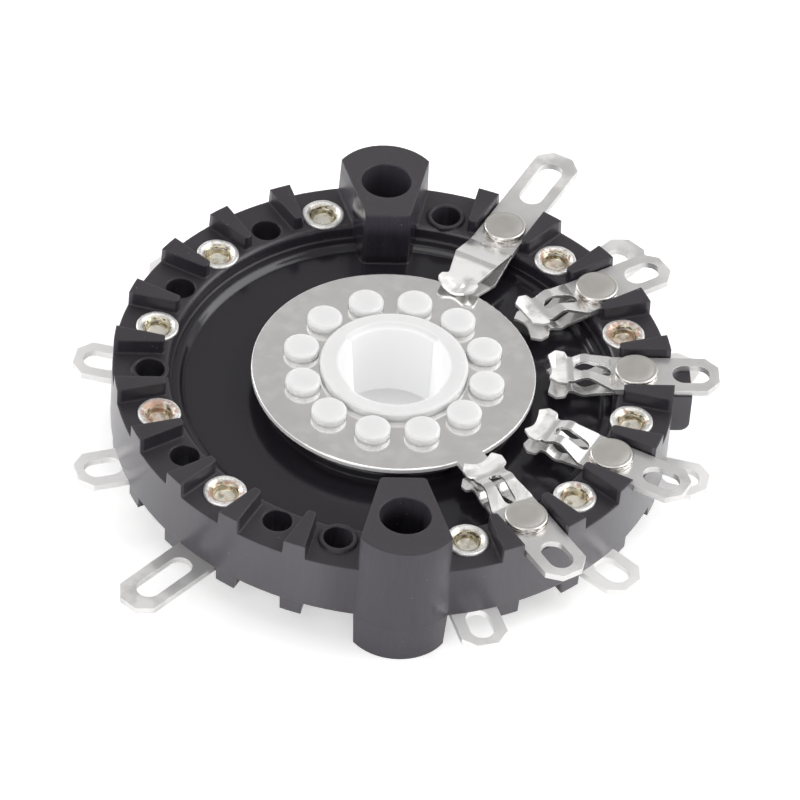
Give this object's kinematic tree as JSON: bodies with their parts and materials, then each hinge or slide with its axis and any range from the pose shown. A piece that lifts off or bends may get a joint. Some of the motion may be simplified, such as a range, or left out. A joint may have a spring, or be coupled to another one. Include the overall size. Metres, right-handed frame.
{
  "type": "rotary wafer switch",
  "caption": "Rotary switch wafer: ring-shaped black stator with riveted spring contacts and solder tags, and a white rotor with contact blades turned by a two-flat shaft.",
  "frame": {"origin": "centre of the tie-rod pattern, on the plane of the two bosses' lower ends", "axes": "+Z along the rotor's axis, away from the lower ends; +Y through the boss at station 0; the locating lug is on +X"},
  "size_m": [0.0379, 0.0381, 0.0084],
  "materials": {
    "wafer_plastic": "satin black thermoset moulding, glossy on the web",
    "rotor_plastic": "milky white moulding",
    "blade_plate": "silver-plated sheet, satin with fine wear rings",
    "leaf_plate": "bright silver-plated spring sheet",
    "rivet_metal": "silver-plated rivet, warm matt grey head"
  },
  "bodies": {
    "wafer": {"common_clip_02_inner_leaf": "leaf_plate", "common_clip_02_outer_leaf": "leaf_plate", "common_clip_03_inner_leaf": "leaf_plate", "common_clip_03_outer_leaf": "leaf_plate", "common_clip_15_inner_leaf": "leaf_plate", "common_clip_15_outer_leaf": "leaf_plate", "lower_rivets": "rivet_metal", "stator": "wafer_plastic", "upper_rivets": "rivet_metal", "way_clip_04_inner_leaf": "leaf_plate", "way_clip_04_outer_leaf": "leaf_plate", "way_clip_05_inner_leaf": "leaf_plate", "way_clip_05_outer_leaf": "leaf_plate", "way_clip_06_inner_leaf": "leaf_plate", "way_clip_06_outer_leaf": "leaf_plate", "way_clip_07_inner_leaf": "leaf_plate", "way_clip_07_outer_leaf": "leaf_plate", "way_clip_08_inner_leaf": "leaf_plate", "way_clip_08_outer_leaf": "leaf_plate", "way_clip_09_inner_leaf": "leaf_plate", "way_clip_09_outer_leaf": "leaf_plate", "way_clip_10_inner_leaf": "leaf_plate", "way_clip_10_outer_leaf": "leaf_plate", "way_clip_11_inner_leaf": "leaf_plate", "way_clip_11_outer_leaf": "leaf_plate", "way_clip_17_inner_leaf": "leaf_plate", "way_clip_17_outer_leaf": "leaf_plate", "way_clip_19_inner_leaf": "leaf_plate", "way_clip_19_outer_leaf": "leaf_plate", "way_clip_21_inner_leaf": "leaf_plate", "way_clip_21_outer_leaf": "leaf_plate", "way_clip_23_inner_leaf": "leaf_plate", "way_clip_23_outer_leaf": "leaf_plate"},
    "rotor": {"rotor": "rotor_plastic", "upper_blade": "blade_plate", "lower_right_blade": "blade_plate", "lower_left_blade": "blade_plate"}
  },
  "joints": [
    {"name": "rotor_turn", "type": "hinge", "parent": "wafer", "child": "rotor", "pos_m": [0, 0, 0.00422], "axis": [0, 0, 1], "range_deg": [0, 90]}
  ]
}
